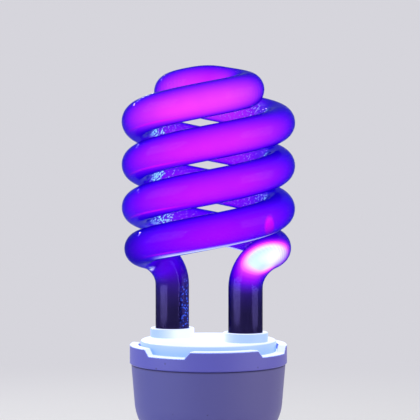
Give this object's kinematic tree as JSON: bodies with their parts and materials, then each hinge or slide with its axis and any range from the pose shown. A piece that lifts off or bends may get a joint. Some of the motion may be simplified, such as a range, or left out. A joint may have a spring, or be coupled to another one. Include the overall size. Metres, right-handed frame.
{
  "type": "uv black light bulb",
  "caption": "Compact spiral black light bulb: violet glass tube coiled as a double helix over a white stepped cover, ballast housing and E27 screw cap.",
  "frame": {"origin": "centre of the cap's end contact, on its outer face", "axes": "+Z along the lamp's axis from the contact to the coil's crown, -Y to the front of the lamp, +X to the right seen from the front"},
  "size_m": [0.061, 0.061, 0.1669],
  "materials": {
    "violet_glass": "dark violet filter glass, lit from inside by its coating",
    "cover_plastic": "fine satin white moulding",
    "housing_plastic": "fine satin white moulding",
    "cement": "grainy off-white cement",
    "cap_metal": "rolled nickelled sheet, lightly brushed round the axis",
    "cap_glass": "black opaque glass",
    "contact_metal": "tinned brass",
    "board": "brown paper laminate",
    "tinned_wire": "drawn tinned wire",
    "capacitor_sleeve": "shrunk dark sleeve",
    "transistor_case": "black moulding compound",
    "film_coating": "dipped red-brown coating",
    "mains_insulation": "white wire sleeve",
    "ferrite": "sintered dark grey ferrite",
    "bobbin": "cream moulding",
    "enamelled_copper": "enamelled copper wire in close turns",
    "diode_case": "black moulded case",
    "resistor_body": "lacquered ceramic"
  },
  "bodies": {
    "root": {"spiral_tube": "violet_glass", "tube_cover": "cover_plastic", "ballast_housing": "housing_plastic", "leg_cement_1": "cement", "leg_cement_2": "cement", "screw_shell": "cap_metal", "cap_insulator": "cap_glass", "centre_contact": "contact_metal", "ballast_board": "board", "filament_lead_1": "tinned_wire", "filament_lead_2": "tinned_wire", "filament_lead_3": "tinned_wire", "filament_lead_4": "tinned_wire", "bulk_capacitor": "capacitor_sleeve", "switching_transistor_1": "transistor_case", "switching_transistor_2": "transistor_case", "resonant_capacitor": "film_coating", "start_capacitor": "film_coating", "mains_wire_shell": "mains_insulation", "mains_wire_contact": "mains_insulation", "choke_core": "ferrite", "drive_ring": "ferrite", "filter_core": "ferrite", "choke_bobbin": "bobbin", "choke_winding": "enamelled_copper", "drive_ring_windings": "enamelled_copper", "filter_winding": "enamelled_copper", "rectifier_diodes": "diode_case", "trigger_diode": "diode_case", "bias_resistors": "resistor_body", "fuse_resistor": "resistor_body"}
  },
  "joints": []
}
